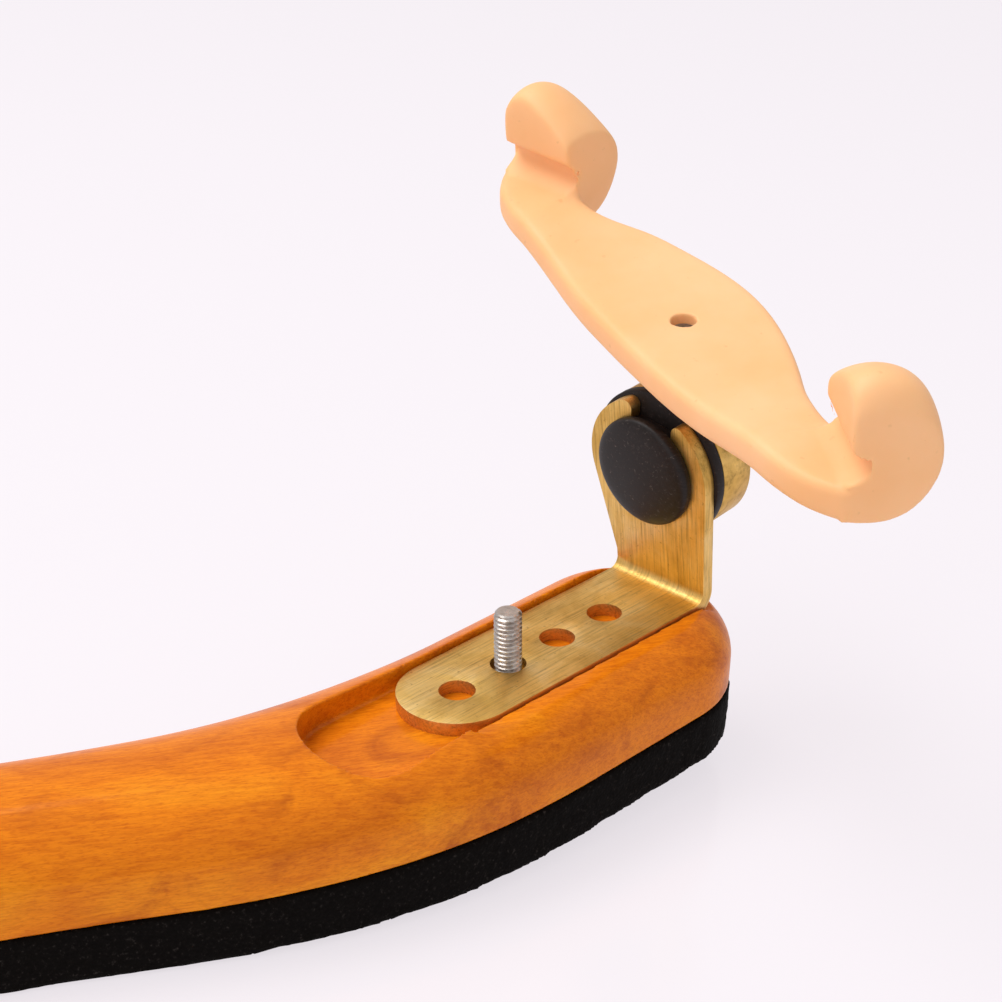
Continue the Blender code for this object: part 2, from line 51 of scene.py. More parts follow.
# ---- sizes shared with the CAD, mm and degrees ---------------------------------------------------
# Bar: an inclined straight middle, then a bend each way to a straight, round end.
MID_HALF = 30.53            # half the length of the straight middle
MID_TURN = 4.4              # the middle's angle to X
BEND_R = 122.4              # radius of both bends
END_TURN = 30.0             # an end's angle to X
CAP_AT = 23.8               # from the stud to the centre of the round end
END_HALF_W = 16.7
MID_HALF_W = 13.3
PAD_T = 8.0
PAD_OVER = 0.25             # the pad stands out past the wood
SIDE_H = 4.2                # the wood's upright side, under its dome
DOME_H = 10.2
PLATE_H = 20.0              # from the underside of the pad to the bracket plate's top
FLAT_HALF = 5.0             # the bar is level to here, then rises along a parabola
RISE_K = 0.000433
RISE_TO = 75.0              # over this length, and then straight on at the same slope
SLOT_HALF_W = 8.9
SLOT_IN = -27.0             # centre of the slot's round inner end
INSERT_HOLE_R = 3.3
INSERT_HOLE_LOW = -7.7
# Bracket: a strap with four holes, bent up to a round head with a notch in it.
PLATE_T = 2.0
PLATE_HALF_W = 8.5
HOLE_PITCH = 10.0
HOLE_R = 2.6
BEND_AT = 32.4              # from the stud to the upright's inner face
LEAN = 5.75                 # the upright leans inward past square
BEND_RI = 1.6
PIVOT_U = 19.3              # the pivot's height up the upright
HEAD_R = 11.0
HEAD_Y = 1.5                # the head stands off the plate's centreline
NOTCH_HALF = 3.8
NOTCH_TURN = -8.0
EAR_R = 1.2                 # rounding of the notch's mouth
# Pivot, studs and stems.
STUD_R = 2.0
STUD_TOP = 8.5
STUD_PITCH = 0.7
STEM_R = 2.5
STEM_PITCH = 0.8
STEM_OFF = 7.3              # from the pivot frame's origin out to the stem's axis
SCREW_R = 2.0               # shoulder of the pivot screw
BARREL_R = 11.5
BARREL_IN = 3.8             # the barrel's two faces, both out from the upright's inner face
BARREL_OUT = 10.8
DISC_R = 8.5
FOLD_REST = -4.4            # how far the barrel is folded at rest
CLEAR = 0.05
# Fork: a soft web with a hooked claw at each end, on a steel core.
FORK_TOP = 21.9             # the web's top above the pivot axis
FORK_TILT = 1.4
FORK_SPIN = -20.8
STEM_TOP = FORK_TOP - 2.7
WEB_T = 5.0
WEB_RISE = 2.8
CLAW_AT = 37.4              # where the claw starts along the web
CLAW_LEN = 15.3
CLAW_SLANT = 19.4
TIP_Z = 4.8                 # underside of the claw's tip above the web
CORE_HALF = 18.0
CORE_W = 4.6
CORE_TOP = -1.6
CORE_BOTTOM = -3.5

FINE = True


# ---- mesh helpers --------------------------------------------------------------------------------
def basis(origin, x_axis, y_axis, z_axis):
    """Placing matrix with these axes as its columns."""
    m = Matrix.Identity(4)
    for col, v in enumerate((x_axis, y_axis, z_axis, origin)):
        for row in range(3):
            m[row][col] = v[row]
    return m


def mesh_from(verts, faces):
    mesh = bpy.data.meshes.new("m")
    mesh.from_pydata([tuple(v) for v in verts], [], faces)
    clean(mesh)
    return mesh


def clean(mesh):
    """Merge doubled points and make the faces point outward."""
    merge = 0.0005
    bm = bmesh.new()
    bm.from_mesh(mesh)
    bmesh.ops.remove_doubles(bm, verts=bm.verts, dist=merge)
    bmesh.ops.dissolve_degenerate(bm, edges=bm.edges, dist=merge)
    bmesh.ops.recalc_face_normals(bm, faces=bm.faces)
    bm.to_mesh(mesh)
    bm.free()


def temp_object(mesh):
    obj = bpy.data.objects.new("tmp", mesh)
    bpy.context.scene.collection.objects.link(obj)
    return obj


def baked(obj):
    """The mesh of a temporary object with its modifiers applied; the object goes."""
    graph = bpy.context.evaluated_depsgraph_get()
    result = bpy.data.meshes.new_from_object(obj.evaluated_get(graph))
    bpy.data.objects.remove(obj)
    return result


def combine(mesh, others, operation):
    """Exact booleans with each of the other meshes in turn."""
    for other in others:
        a, b = temp_object(mesh), temp_object(other)
        mod = a.modifiers.new("Boolean", "BOOLEAN")
        mod.operation, mod.object, mod.solver = operation, b, "EXACT"
        mesh = baked(a)
        bpy.data.objects.remove(b)
        clean(mesh)
    return mesh


def cut(mesh, *others):
    return combine(mesh, others, "DIFFERENCE")


def join(mesh, *others):
    return combine(mesh, others, "UNION")


def moved(mesh, matrix):
    mesh.transform(matrix)
    return mesh


def softened(mesh, voxel, rounds):
    """Voxel skin with its edges eased, as moulding and sanding leave them."""
    obj = temp_object(mesh)
    mod = obj.modifiers.new("Remesh", "REMESH")
    mod.mode, mod.voxel_size, mod.adaptivity = "VOXEL", voxel, 0.0
    mod = obj.modifiers.new("Smooth", "SMOOTH")
    mod.factor, mod.iterations = 0.5, rounds
    return baked(obj)


def subdivided(mesh, levels):
    obj = temp_object(mesh)
    mod = obj.modifiers.new("Subdivision", "SUBSURF")
    mod.levels = mod.render_levels = levels
    return baked(obj)


def bevelled(mesh, width, segments):
    obj = temp_object(mesh)
    mod = obj.modifiers.new("Bevel", "BEVEL")
    mod.width, mod.segments = width, segments
    mod.limit_method, mod.angle_limit = "ANGLE", math.radians(38)
    mod.use_clamp_overlap = True
    return baked(obj)


def skin(rings, closed_ends=True, wrap=False):
    """Quads between rings with equal numbers of points; wrap joins the last ring to the first."""
    n = len(rings[0])
    verts = [p for r in rings for p in r]
    faces = []
    for k in range(len(rings) - (0 if wrap else 1)):
        m = (k + 1) % len(rings)
        for i in range(n):
            j = (i + 1) % n
            faces.append([k * n + i, k * n + j, m * n + j, m * n + i])
    if closed_ends and not wrap:
        faces.append(list(range(n))[::-1])
        faces.append(list(range((len(rings) - 1) * n, len(rings) * n)))
    return mesh_from(verts, faces)


def circle(r, z, segments):
    return [(r * math.cos(2 * math.pi * i / segments), r * math.sin(2 * math.pi * i / segments), z)
            for i in range(segments)]


def lathe(profile, segments=96):
    """Solid of revolution about Z; a closed profile that never touches the axis makes a ring."""
    if min(r for r, _ in profile) > 0.01:
        return skin([circle(r, z, segments) for r, z in profile], wrap=True)
    return skin([circle(max(r, 0.002), z, segments) for r, z in profile])


def rod(r, z0, z1, segments=64):
    return lathe([(0, z0), (r, z0), (r, z1), (0, z1)], segments)


def prism(outline, z0, z1):
    """An outline in XY, extruded."""
    return skin([[(x, y, z0) for x, y in outline], [(x, y, z1) for x, y in outline]])


def arc(cx, cy, r, a0, a1, n):
    """Points along an arc from angle a0 to a1, in degrees, in n steps."""
    return [(cx + r * math.cos(math.radians(a0 + (a1 - a0) * i / n)),
             cy + r * math.sin(math.radians(a0 + (a1 - a0) * i / n))) for i in range(n + 1)]


def smooth(t):
    """0 to 1 with level ends, for t from 0 to 1."""
    t = min(max(t, 0.0), 1.0)
    return t * t * (3 - 2 * t)


def table(x, xs, ys):
    """Straight-line interpolation, held level past the first and last x."""
    if x <= xs[0]:
        return ys[0]
    for (x0, y0), (x1, y1) in zip(zip(xs, ys), zip(xs[1:], ys[1:])):
        if x <= x1:
            return y0 + (y1 - y0) * (x - x0) / (x1 - x0)
    return ys[-1]


# ---- frames --------------------------------------------------------------------------------------
TURN, MID = math.radians(END_TURN), math.radians(MID_TURN)
STUD_AT = MID_HALF + BEND_R * (TURN - MID)
END_SLOPE = math.atan(2 * RISE_K * RISE_TO)


def rise(along):
    """How far the bar's underside has risen at this distance along it."""
    d = min(max(abs(along) - FLAT_HALF, 0.0), RISE_TO)
    return RISE_K * d * d + 2 * RISE_K * RISE_TO * max(abs(along) - FLAT_HALF - RISE_TO, 0.0)


def centreline(along):
    """Point and heading of the bar's centreline; the two halves are half-turn twins."""
    s, sign = abs(along), (1 if along >= 0 else -1)
    straight = min(s, MID_HALF)
    heading = MID + max(min(s, STUD_AT) - MID_HALF, 0.0) / BEND_R
    past = max(s - STUD_AT, 0.0)
    x = (straight * math.cos(MID) + BEND_R * (math.sin(heading) - math.sin(MID))
         + past * math.cos(TURN))
    y = (straight * math.sin(MID) + BEND_R * (math.cos(MID) - math.cos(heading))
         + past * math.sin(TURN))
    return sign * x, sign * y, heading


def half_width(along):
    widen_from, widen_over = 10.0, 62.0
    return MID_HALF_W + (END_HALF_W - MID_HALF_W) * smooth((abs(along) - widen_from) / widen_over)


def end_frame(end):
    x, y, heading = centreline(STUD_AT)
    z = rise(STUD_AT) + PLATE_H / math.cos(END_SLOPE)
    m = (Matrix.Translation((x, y, z)) @ Matrix.Rotation(heading, 4, "Z")
         @ Matrix.Rotation(-END_SLOPE, 4, "Y"))
    return m if end == "a" else Matrix.Rotation(math.pi, 4, "Z") @ m


def pivot_frame():
    lean = math.radians(LEAN)
    up = Vector((-math.sin(lean), 0, math.cos(lean)))
    inward = Vector((-math.cos(lean), 0, -math.sin(lean)))
    centre = Vector((BEND_AT, HEAD_Y, 0)) + up * PIVOT_U
    return basis(centre, up.cross(inward), up, inward)


def stem_frame():
    fold = Matrix.Rotation(math.radians(FOLD_REST), 4, "Z")
    return (pivot_frame() @ fold @ Matrix.Translation((0, 0, -STEM_OFF))
            @ Matrix.Rotation(-math.pi / 2, 4, "X"))


def fork_frame():
    spin = Matrix.Rotation(math.radians(FORK_SPIN), 4, "Z")
    tilt = Matrix.Rotation(math.radians(FORK_TILT), 4, "X")
    return stem_frame() @ Matrix.Translation((0, 0, FORK_TOP)) @ spin @ tilt


# ---- bar and pad ---------------------------------------------------------------------------------
def bar_loop(inset, height, grow=0.0):
    """Closed loop round the bar: inset runs 0 at its edge to 1 on the centreline, grow widens it."""
    steps, cap_steps = 110, 36
    cap = STUD_AT + CAP_AT
    pts = []
    alongs = [-cap + 2 * cap * i / steps for i in range(steps + 1)]
    for side in (1, -1):
        run = alongs if side == -1 else alongs[::-1]
        end = -1 if side == 1 else 1
        for s in run:
            x, y, h = centreline(s)
            w = (half_width(s) + grow) * (1 - inset)
            pts.append((x - side * w * math.sin(h), y + side * w * math.cos(h), rise(s) + height))
        x, y, h = centreline(end * cap)
        w = (END_HALF_W + grow) * (1 - inset)
        for i in range(1, cap_steps):
            a = h + math.pi * i / cap_steps + (math.pi / 2 if end == -1 else -math.pi / 2)
            ahead = w * math.cos(a - h)
            pts.append((x + w * math.cos(a), y + w * math.sin(a),
                        rise(end * cap + ahead) + height))
    return pts


def wood_mesh():
    """Domed bar, slotted at each end for the bracket and bored for the stud and its insert."""
    loops = [bar_loop(1.0, PAD_T), bar_loop(0.5, PAD_T), bar_loop(0.02, PAD_T),
             bar_loop(0.0, PAD_T + 0.3), bar_loop(0.0, PAD_T + SIDE_H * 0.5)]
    rings, squareness = 18, 2.15
    for i in range(rings + 1):
        a = math.pi / 2 * i / rings
        across = math.cos(a) ** (2 / squareness) if i < rings else 0.0
        loops.append(bar_loop(1 - across, PAD_T + SIDE_H + DOME_H * math.sin(a)))
    mesh = skin(loops, closed_ends=False)
    for end in "ab":
        e = end_frame(end)
        outline = arc(SLOT_IN, 0, SLOT_HALF_W, 90, 270, 48) + [(60, -SLOT_HALF_W),
                                                                (60, SLOT_HALF_W)]
        low = -(PLATE_H - PAD_T)
        shelf = [(-17, -8.0), (60, -8.0), (60, -14.0), (-12, -14.0)]
        mesh = cut(mesh, moved(prism(outline, -PLATE_T, 30), e), moved(prism(shelf, -0.25, 30), e),
                   moved(rod(INSERT_HOLE_R, INSERT_HOLE_LOW, 0), e),
                   moved(rod(STUD_R + 0.2, low - 5, 0), e))
    return softened(mesh, 0.3 if FINE else 0.9, 2)


def foam_mesh():
    """Flat pad with the slightly uneven skin of cut foam."""
    top = PAD_T - 0.12
    heights = (0.35, 1.5, 3.0, 4.5, 6.0, top - 0.3)
    loops = [bar_loop(1.0, 0.02), bar_loop(0.5, 0.02, PAD_OVER), bar_loop(0.05, 0.02, PAD_OVER),
             bar_loop(0.012, 0.1, PAD_OVER)]
    loops += [bar_loop(0.0, z, PAD_OVER) for z in heights]
    loops += [bar_loop(0.02, top, PAD_OVER), bar_loop(0.5, top, PAD_OVER), bar_loop(1.0, top)]
    mesh = skin(loops, closed_ends=False)
    if FINE:
        mesh = softened(mesh, 0.6, 1)
    normals = [v.normal.copy() for v in mesh.vertices]
    for v, n in zip(mesh.vertices, normals):
        p = v.co
        waves = noise.noise(p * 1.3) * 0.10 + noise.noise(p * 0.45) * 0.12
        share = 0.25 if abs(n.z) > 0.7 else 1.0    # the flat faces stay flatter than the edge
        v.co = p + n * (waves - 0.1) * share
        v.co.z = max(v.co.z, 0.0)
    return mesh


# ---- bracket -------------------------------------------------------------------------------------
def tangent_angle(dx, dy, r):
    """Polar angle, in degrees, where the tangent from (dx, dy) meets a circle at the origin."""
    return math.degrees(math.atan2(dy, dx) - math.acos(r / math.hypot(dx, dy)))


def head_outline(head, near_foot, far_foot):
    """The bracket's round head, centred head along the flat blank, with its notch."""
    w = PLATE_HALF_W
    reach = NOTCH_HALF + EAR_R
    ear_u = math.sqrt((HEAD_R - EAR_R) ** 2 - reach ** 2)
    ear_a = math.degrees(math.atan2(reach, ear_u))
    near_a = -tangent_angle(near_foot[0] - head, w + HEAD_Y, HEAD_R)
    far_a = tangent_angle(far_foot[0] - head, w - HEAD_Y, HEAD_R)
    mouth = (arc(ear_u, -reach, EAR_R, -ear_a, 90, 14) + arc(0, 0, NOTCH_HALF, 270, 90, 32)
             + arc(ear_u, reach, EAR_R, -90, ear_a, 14))
    turned = (arc(0, 0, HEAD_R, near_a - NOTCH_TURN, -ear_a, 40)[:-1] + mouth
              + arc(0, 0, HEAD_R, ear_a, far_a - NOTCH_TURN, 40)[1:])
    c, k = math.cos(math.radians(NOTCH_TURN)), math.sin(math.radians(NOTCH_TURN))
    return [(head + x * c - y * k, HEAD_Y + x * k + y * c) for x, y in turned]


def bent(mesh, start, length, mid_r):
    """Bend a flat blank upward from start; its flat coordinates stay in the attribute flat."""
    cuts = 25
    bm = bmesh.new()
    bm.from_mesh(mesh)
    bmesh.ops.triangulate(bm, faces=bm.faces)
    for i in range(cuts):
        bmesh.ops.bisect_plane(bm, geom=bm.verts[:] + bm.edges[:] + bm.faces[:], plane_no=(1, 0, 0),
                               plane_co=(start + length * i / (cuts - 1), 0, 0))
    flat = bm.verts.layers.float_vector.new("flat")
    for v in bm.verts:
        x, y, t = v.co
        v[flat] = v.co
        a = min(max(x - start, 0.0), length) / mid_r
        r = BEND_RI - t
        past = max(x - start - length, 0.0)
        if x > start:
            v.co = (start + r * math.sin(a) + past * math.cos(a), y,
                    BEND_RI - r * math.cos(a) + past * math.sin(a))
    bm.normal_update()
    bm.to_mesh(mesh)
    bm.free()
    return mesh


def bracket_mesh():
    """Flat blank with holes and notch, edges eased, then bent."""
    bend = math.radians(90 + LEAN)
    mid_r = BEND_RI + PLATE_T / 2
    start = BEND_AT - BEND_RI * math.tan(bend / 2)
    length = bend * mid_r
    to_flat = start + length - BEND_RI * math.tan(bend / 2)
    w = PLATE_HALF_W
    near_foot, far_foot = (start + length, -w), (to_flat + 3.0, w)
    top = head_outline(to_flat + PIVOT_U, near_foot, far_foot)
    tip = arc(-HOLE_PITCH, 0, w, 90, 270, 64)
    mesh = prism(tip + [(start, -w), near_foot] + top + [far_foot, (start + length, w), (start, w)],
                 -PLATE_T, 0)
    mesh = cut(mesh, *[moved(rod(HOLE_R, -5, 5, 56), Matrix.Translation((HOLE_PITCH * k, 0, 0)))
                       for k in (-1, 0, 1, 2)])
    return bent(bevelled(mesh, 0.22, 3), start, length, mid_r)


# ---- pivot, in the pivot frame -------------------------------------------------------------------
def cap_mesh():
    """Crowned disc with a key that fills the bracket's notch."""
    r = DISC_R
    disc = lathe([(0, CLEAR), (r - 0.2, CLEAR), (r - 0.05, 0.12), (r, 0.35), (r, 0.8),
                  (r - 0.05, 1.1), (r - 0.2, 1.38), (r - 0.48, 1.6), (r - 0.9, 1.78),
                  (r - 1.5, 1.93), (r - 2.3, 2.06), (5.0, 2.18), (3.6, 2.3), (1.8, 2.41),
                  (0, 2.45)])
    half = NOTCH_HALF - 0.1
    key = moved(prism(arc(0, 0, half, 180, 360, 24) + [(half, 7.0), (-half, 7.0)],
                      -PLATE_T - CLEAR, 0.6), Matrix.Rotation(math.radians(NOTCH_TURN), 4, "Z"))
    return join(disc, key)


def flange_mesh():
    z1, z0, r = -PLATE_T - 2 * CLEAR, -BARREL_IN + CLEAR, BARREL_R + 0.1
    bore = SCREW_R + CLEAR
    return lathe([(bore, z0), (r - 0.25, z0), (r - 0.08, z0 + 0.08), (r, z0 + 0.25), (r, z1 - 0.25),
                  (r - 0.08, z1 - 0.08), (r - 0.25, z1), (bore, z1)], 128)


def barrel_mesh():
    """Turned barrel, counterbored for the screw's head and drilled across for the stem."""
    z0, z1, r = -BARREL_OUT, -BARREL_IN, BARREL_R
    bore = SCREW_R + CLEAR
    body = lathe([(bore, -8.0), (4.1, -8.0), (4.1, z0 + 0.2), (4.3, z0), (r - 1.3, z0),
                  (r - 1.15, z0 + 0.05), (r - 0.1, z0 + 1.1), (r, z0 + 1.3), (r, z1 - 0.5),
                  (r - 0.15, z1 - 0.15), (r - 0.5, z1), (bore, z1)], 128)
    hole = moved(rod(STEM_R + CLEAR, 4.5, 15), Matrix.Translation((0, 0, -STEM_OFF))
                 @ Matrix.Rotation(-math.pi / 2, 4, "X"))
    return moved(cut(body, hole), Matrix.Rotation(math.radians(FOLD_REST), 4, "Z"))


def pivot_screw_mesh():
    """Shoulder screw with a slotted head, its thin end in the cap."""
    body = lathe([(0, -10.6), (3.2, -10.6), (3.45, -10.5), (3.6, -10.25), (3.6, -9.0), (SCREW_R, -9.0),
                  (SCREW_R, -2.1), (1.5, -2.1), (1.5, 1.2), (1.3, 1.4), (0, 1.4)], 64)
    slot = prism([(-5, -0.45), (5, -0.45), (5, 0.45), (-5, 0.45)], -12, -9.9)
    return bevelled(cut(body, moved(slot, Matrix.Rotation(0.6, 4, "Z"))), 0.06, 2)


def spring_washer_mesh():
    return lathe([(2.2, -8.32), (3.7, -8.05), (3.7, -8.65), (2.2, -8.92)], 64)


# ---- threads -------------------------------------------------------------------------------------
def threaded(r, pitch, z0, z1, chamfer):
    """A rod with a helical thread and chamfered ends."""
    segments, depth = 48, pitch * 0.55
    rows = max(2, int((z1 - z0) / pitch * (12 if FINE else 8)))
    rings = []
    for k in range(rows + 1):
        z = z0 + (z1 - z0) * k / rows
        limit = min(r, r - chamfer + min(z - z0, z1 - z))
        loop = []
        for i in range(segments):
            t = (z / pitch - i / segments) % 1.0
            ridge = 1 - abs(2 * t - 1)
            ridge = min(max((ridge - 0.08) / 0.8, 0.0), 1.0)
            rr = min(limit, r - depth + depth * ridge)
            a = 2 * math.pi * i / segments
            loop.append((rr * math.cos(a), rr * math.sin(a), z))
        rings.append(loop)
    return skin(rings)


def stud_mesh():
    low = -(PLATE_H - PAD_T) + 0.1
    head = lathe([(0, low), (3.6, low), (3.85, low + 0.1), (4.0, low + 0.35), (4.0, low + 2.2),
                  (1.5, low + 2.2), (0, low + 2.2)], 64)
    shank = threaded(STUD_R, STUD_PITCH, low + 1.9, STUD_TOP, 0.45)
    return join(head, shank) if FINE else shank


def nut_mesh():
    """Thumb nut with a knurled rim."""
    ridges, per = 44, 6
    seg = ridges * per
    profile = ((3.05, 0.86), (6.1, 0.86), (6.4, 1.0), (6.5, 1.3), (6.5, 5.5), (6.4, 5.85),
               (6.1, 6.1), (5.6, 6.2), (3.05, 6.2))
    rings = []
    for k, (r, z) in enumerate(profile):
        depth = 0.35 if 2 <= k <= 6 else 0.0
        loop = []
        for i in range(seg):
            groove = 0.5 - 0.5 * math.cos(2 * math.pi * i / per)
            rr = r - depth * groove
            a = 2 * math.pi * i / seg
            loop.append((rr * math.cos(a), rr * math.sin(a), z))
        rings.append(loop)
    return skin(rings, wrap=True)


# ---- fork ----------------------------------------------------------------------------------------
def stem_in_fork():
    return fork_frame().inverted() @ stem_frame()


def core_mesh():
    """Plate moulded into the web, with a boss below it that is screwed to the stem."""
    outline = (arc(CORE_HALF - CORE_W, 0, CORE_W, -90, 90, 24)
               + arc(-CORE_HALF + CORE_W, 0, CORE_W, 90, 270, 24))
    plate = prism(outline, CORE_BOTTOM, CORE_TOP)
    boss = moved(lathe([(0, 14.0), (3.7, 14.0), (4.0, 14.3), (4.0, STEM_TOP), (0, STEM_TOP)], 64),
                 stem_in_fork())
    return cut(join(plate, boss), moved(rod(STEM_R + CLEAR, 10, STEM_TOP + CLEAR), stem_in_fork()),
               rod(1.7, -3.2, 1, 48))


def web_rise(x):
    """How far the web has curved up at x."""
    return WEB_RISE * smooth((abs(x) - 18.0) / 20.0)


def outer_edge(x):
    """Distance from the fork's centreline to the web's bulging outer edge."""
    off_centre = 3.5 * (1 - smooth((abs(x) - 20.0) / 12.0))
    return table(abs(x + off_centre), [0, 5, 9, 13, 17, 20, 23.5, 27.5, 31, 34],
                 [13.2, 12.9, 12.2, 11.3, 9.9, 8.8, 7.2, 4.6, 3.1, 2.4])


def crown(u):
    """Height of a claw above the web at u, 0 to 1 along it: highest toward its outer end."""
    return table(u, [0, 0.1, 0.2, 0.35, 0.5, 0.65, 0.8, 0.9, 1.0],
                 [8.6, 10.2, 11.3, 12.9, 14.1, 14.8, 14.7, 13.6, 10.6])


def fork_section(x, hook):
    """Closed (v, z) outline across the fork at station x; hook runs 0 (web) to 1 (claw)."""
    vi = -table(abs(x), [0, 12, 22, 38, 42, 46, 49, 51, 53],
                [10.4, 10.2, 9.7, 9.8, 9.8, 9.2, 8.2, 6.8, 4.9])
    vo = outer_edge(x)
    inner_r, low_r, t, count = 1.5, 1.2, WEB_T, 23
    flat = []
    for i in range(count):
        a = math.radians(-90 + 180 * i / (count - 1))
        c, s = math.cos(a), math.sin(a)
        flat.append((vo - t / 2 + t / 2 * abs(c) ** 0.6,
                     -t / 2 + t / 2 * math.copysign(abs(s) ** 0.6, s)))
    u = min(max((abs(x) - CLAW_AT) / CLAW_LEN, 0.0), 1.0)
    tip, h, z = 0.2 - 4.9 * u, crown(u), TIP_Z
    claw = [(-1.5, -t + 0.1), (2.0, -t - 0.6), (5.0, -t - 0.6), (7.9, -4.4), (10.2, -1.7),
            (11.5, 1.4), (11.7, 0.36 * h), (11.3, 0.57 * h), (10.2, 0.76 * h), (8.3, 0.9 * h),
            (5.7, 0.985 * h), (3.2, h), (1.3, 0.96 * h), (0.3, 0.91 * h), (0.0, 0.84 * h),
            (0.0, z + 0.5), (0.4, z), (1.6, z - 0.1), (2.6, z - 0.5), (2.9, z - 1.6),
            (2.3, z - 2.6), (0.9, 1.0), (-0.8, 0.2)]
    claw = [(tip + v, height) for v, height in claw]
    pts = [(f[0] + (c[0] - f[0]) * hook, f[1] + (c[1] - f[1]) * hook)
           for f, c in zip(flat, claw)]
    last_v, last_z = pts[-1]
    first_v = pts[0][0]
    for k in (3, 2, 1):
        pts.append((vi + 2.4 + (last_v - vi - 2.4) * k / 4, last_z * k / 4))
    for i in range(4):
        a = math.radians(30 * i)
        pts.append((vi + inner_r - inner_r * math.sin(a), -inner_r + inner_r * math.cos(a)))
    for i in range(4):
        a = math.radians(30 * i)
        pts.append((vi + low_r - low_r * math.cos(a), -t + low_r - low_r * math.sin(a)))
    for k in (1, 2, 3):
        pts.append((vi + 2.2 + (first_v - vi - 2.2) * k / 4, -t))
    return pts


def shrink(pts, by):
    """A closed outline drawn in by a distance."""
    out, n = [], len(pts)
    area = sum(pts[i][0] * pts[(i + 1) % n][1] - pts[(i + 1) % n][0] * pts[i][1] for i in range(n))
    turn = 1 if area > 0 else -1
    for i in range(n):
        dx, dy = pts[(i + 1) % n][0] - pts[i - 1][0], pts[(i + 1) % n][1] - pts[i - 1][1]
        d = math.hypot(dx, dy) or 1.0
        out.append((pts[i][0] - turn * dy / d * by, pts[i][1] + turn * dx / d * by))
    return out


def fork_loop(x, hook, inset):
    """A section of the fork in place, turned by the slant that the claws have."""
    slant = math.radians(CLAW_SLANT) * smooth((abs(x) - 8.0) / 24.0)
    side = 1 if x >= 0 else -1
    pts = shrink(fork_section(x, hook), inset)
    loop = []
    for v, z in pts:
        px = x + side * v * math.sin(slant)
        loop.append((px, v * math.cos(slant), z + web_rise(px)))
    return loop


def fork_mesh():
    """Sections lofted from claw to claw; each station is x, how far it is hooked, and its inset."""
    web = [0, 6, 12, 18, 23, 28, 32, 35, 36.6]
    claw = [CLAW_AT + CLAW_LEN * u for u in (0.0, 0.04, 0.12, 0.25, 0.4, 0.6, 0.75, 0.88, 0.96)]
    half = [(x, 0.0, 0.0) for x in web] + [(CLAW_AT - 0.3, 0.5, 0.0)]
    half += [(x, 1.0, 0.0) for x in claw] + [(CLAW_AT + CLAW_LEN, 1.0, 0.25)]
    rings = ([fork_loop(-x, hook, inset) for x, hook, inset in half[:0:-1]]
             + [fork_loop(x, hook, inset) for x, hook, inset in half])
    mesh = skin(rings)
    mesh = subdivided(mesh, 2 if FINE else 1)
    mesh = cut(mesh, moved(rod(4.1, 10.0, STEM_TOP), stem_in_fork()), rod(1.85, -2.95, 6, 48))
    return softened(mesh, 0.3 if FINE else 0.8, 4)


# ---- node materials ------------------------------------------------------------------------------
class Nodes:
    """Small wrapper for building a material."""

    def __init__(self, name):
        self.mat = bpy.data.materials.new(name)
        self.mat.use_nodes = True
        self.tree = self.mat.node_tree
        self.bsdf = self.tree.nodes["Principled BSDF"]

    def add(self, kind, **props):
        node = self.tree.nodes.new(kind)
        for key, value in props.items():
            if key in node.inputs:
                node.inputs[key].default_value = value
            else:
                setattr(node, key, value)
        return node

    def link(self, a, out, b, socket):
        self.tree.links.new(a.outputs[out], b.inputs[socket])

    def coords(self, scale, rotation=(0, 0, 0)):
        tex = self.add("ShaderNodeTexCoord")
        mapping = self.add("ShaderNodeMapping")
        mapping.inputs["Scale"].default_value = scale
        mapping.inputs["Rotation"].default_value = rotation
        self.link(tex, "Object", mapping, "Vector")
        return mapping

    def attribute(self, name, scale):
        att = self.add("ShaderNodeAttribute", attribute_name=name)
        mapping = self.add("ShaderNodeMapping")
        mapping.inputs["Scale"].default_value = scale
        self.link(att, "Vector", mapping, "Vector")
        return mapping

    def noise(self, vector, scale, detail=4.0, rough=0.5, distortion=0.0):
        node = self.add("ShaderNodeTexNoise", Scale=scale, Detail=detail, Roughness=rough,
                        Distortion=distortion)
        self.link(vector, "Vector", node, "Vector")
        return node

    def ramp(self, source, out, stops):
        node = self.add("ShaderNodeValToRGB")
        self.link(source, out, node, "Fac")
        ramp = node.color_ramp
        while len(ramp.elements) < len(stops):
            ramp.elements.new(0.5)
        for element, (pos, colour) in zip(ramp.elements, stops):
            element.position = pos
            element.color = (*colour, 1.0) if len(colour) == 3 else colour
        return node

    def blend(self, base, other, factor, mode="MIX"):
        """Blend from one colour socket toward another colour by a factor socket or number."""
        node = self.add("ShaderNodeMix", data_type="RGBA", blend_type=mode)
        for value, index in ((factor, 0), (base, 6), (other, 7)):
            if isinstance(value, bpy.types.NodeSocket):
                self.tree.links.new(value, node.inputs[index])
            else:
                node.inputs[index].default_value = (*value, 1.0) if index else value
        return node.outputs[2]

    def bump(self, source, out, strength, distance, after=None):
        node = self.add("ShaderNodeBump", Strength=strength, Distance=distance)
        self.link(source, out, node, "Height")
        if after:
            self.link(after, "Normal", node, "Normal")
        return node

    def set(self, **values):
        for key, value in values.items():
            self.bsdf.inputs[key.replace("_", " ")].default_value = value


def grey(v):
    """A colour with all its channels at v."""
    return (v, v, v)


